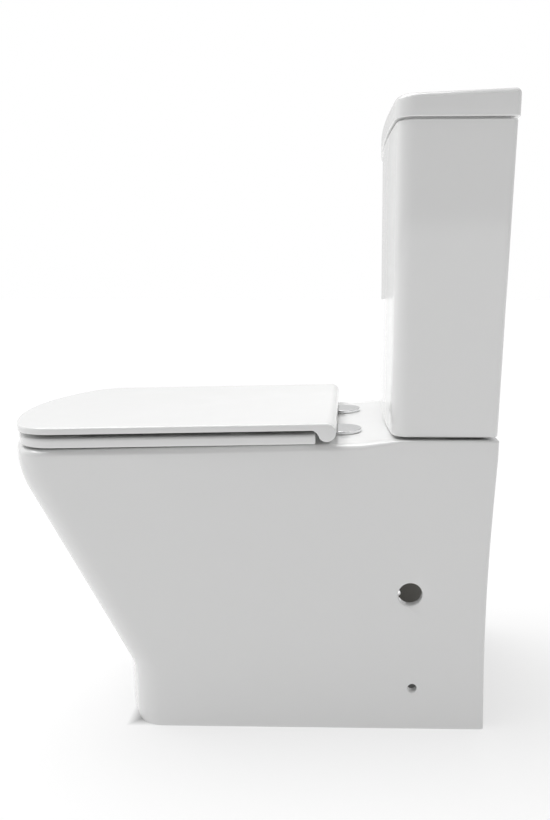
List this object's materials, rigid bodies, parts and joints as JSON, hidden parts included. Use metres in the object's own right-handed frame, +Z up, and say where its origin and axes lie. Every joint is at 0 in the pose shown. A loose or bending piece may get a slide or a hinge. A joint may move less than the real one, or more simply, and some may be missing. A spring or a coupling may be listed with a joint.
{
  "type": "close coupled toilet",
  "caption": "Back-to-wall close coupled toilet with a tapered cistern, slim seat and lid on soft close hinges, dual flush button and ceramic pan with side fixing holes.",
  "frame": {"origin": "on the floor, under the middle of the whole toilet's box", "axes": "+Z up, +Y towards the wall, -Y is the front of the bowl, +X to the right of a person who stands in front with their back to the bowl's front"},
  "size_m": [0.37, 0.658, 0.8131],
  "materials": {
    "ceramic": "white glaze, glossy",
    "seat_plastic": "white, moulded, glossy",
    "valve_plastic": "white, moulded",
    "grey_plastic": "dark grey, moulded",
    "blue_plastic": "blue, moulded",
    "black_rubber": "black, matt",
    "clear_rubber": "milky, soft",
    "foam_rubber": "black foam",
    "stainless": "stainless steel",
    "chrome": "polished"
  },
  "bodies": {
    "toilet": {"pan": "ceramic", "cistern": "ceramic", "hinge_discs": "chrome", "right_hinge_post": "stainless", "left_hinge_post": "stainless", "right_hinge_pin": "stainless", "left_hinge_pin": "stainless", "hinge_gaskets": "clear_rubber", "hinge_studs": "stainless", "stud_bushes": "black_rubber", "stud_washers": "valve_plastic", "stud_nuts": "stainless", "cistern_pads": "black_rubber", "foam_washer": "foam_rubber", "cistern_bolts": "stainless", "bolt_seals": "black_rubber", "bolt_washers": "stainless", "under_washers": "stainless", "wing_nuts": "stainless", "flush_valve_base": "valve_plastic", "flush_valve_washer": "black_rubber", "flush_valve_back_nut": "valve_plastic", "flush_valve_cage": "valve_plastic", "flush_valve_housing": "blue_plastic", "fill_valve_body": "valve_plastic", "fill_valve_washer": "black_rubber", "fill_valve_back_nut": "valve_plastic", "fill_valve_head": "blue_plastic", "lever_axle": "stainless"},
    "seat_ring": {"seat_ring": "seat_plastic", "ring_buffers": "clear_rubber", "ring_damper": "grey_plastic", "ring_bush": "valve_plastic"},
    "seat_lid": {"seat_lid": "seat_plastic", "lid_buffers": "clear_rubber", "lid_damper": "grey_plastic", "lid_bush": "valve_plastic"},
    "cistern_lid": {"cistern_lid": "ceramic", "button_bezel": "chrome", "button_sleeve": "valve_plastic", "button_lock_nut": "valve_plastic", "full_button_spring": "stainless", "half_button_spring": "stainless"},
    "full_button": {"full_flush_button": "chrome", "full_push_rod": "valve_plastic"},
    "half_button": {"half_flush_button": "chrome", "half_push_rod": "valve_plastic"},
    "flush_lift": {"overflow_lift_tube": "grey_plastic", "flush_seal": "black_rubber", "flush_float": "valve_plastic"},
    "full_plunger": {"full_flush_plunger": "valve_plastic"},
    "half_plunger": {"half_flush_plunger": "grey_plastic"},
    "float": {"fill_float": "valve_plastic", "float_rod": "grey_plastic"},
    "lever": {"float_lever": "grey_plastic"}
  },
  "joints": [
    {"name": "ring_hinge", "type": "hinge", "parent": "toilet", "child": "seat_ring", "pos_m": [0, 0.1115, 0.4216], "axis": [1, 0, 0], "range_deg": [-96, 0]},
    {"name": "lid_hinge", "type": "hinge", "parent": "seat_ring", "child": "seat_lid", "pos_m": [0, 0.1115, 0.4216], "axis": [-1, 0, 0], "range_deg": [0, 98]},
    {"name": "cistern_lid_lift", "type": "slide", "parent": "toilet", "child": "cistern_lid", "axis": [0, 0, 1], "range_m": [0, 0.15]},
    {"name": "full_button_press", "type": "slide", "parent": "cistern_lid", "child": "full_button", "axis": [0, 0, -1], "range_m": [0, 0.008], "stiffness_N_per_m": 300, "springref_m": -0.004, "deforming": ["full_button_spring"]},
    {"name": "half_button_press", "type": "slide", "parent": "cistern_lid", "child": "half_button", "axis": [0, 0, -1], "range_m": [0, 0.008], "stiffness_N_per_m": 300, "springref_m": -0.004, "deforming": ["half_button_spring"]},
    {"name": "full_plunger_press", "type": "slide", "parent": "toilet", "child": "full_plunger", "axis": [0, 0, -1], "range_m": [0, 0.008]},
    {"name": "half_plunger_press", "type": "slide", "parent": "toilet", "child": "half_plunger", "axis": [0, 0, -1], "range_m": [0, 0.008]},
    {"name": "flush_valve_lift", "type": "slide", "parent": "toilet", "child": "flush_lift", "axis": [0, 0, 1], "range_m": [0, 0.016]},
    {"name": "float_rise", "type": "slide", "parent": "toilet", "child": "float", "axis": [0, 0, 1], "range_m": [0, 0.012]},
    {"name": "float_lever_turn", "type": "hinge", "parent": "toilet", "child": "lever", "pos_m": [-0.096, 0.254, 0.7], "axis": [0, 1, 0], "range_deg": [0, 16.5]}
  ],
  "couplings": [
    {"joint": "full_plunger_press", "follows": "full_button_press", "ratio": 1},
    {"joint": "half_plunger_press", "follows": "half_button_press", "ratio": 1},
    {"joint": "flush_valve_lift", "follows": "full_button_press", "ratio": 2},
    {"joint": "float_lever_turn", "follows": "float_rise", "rad_per_m": 23.8}
  ]
}
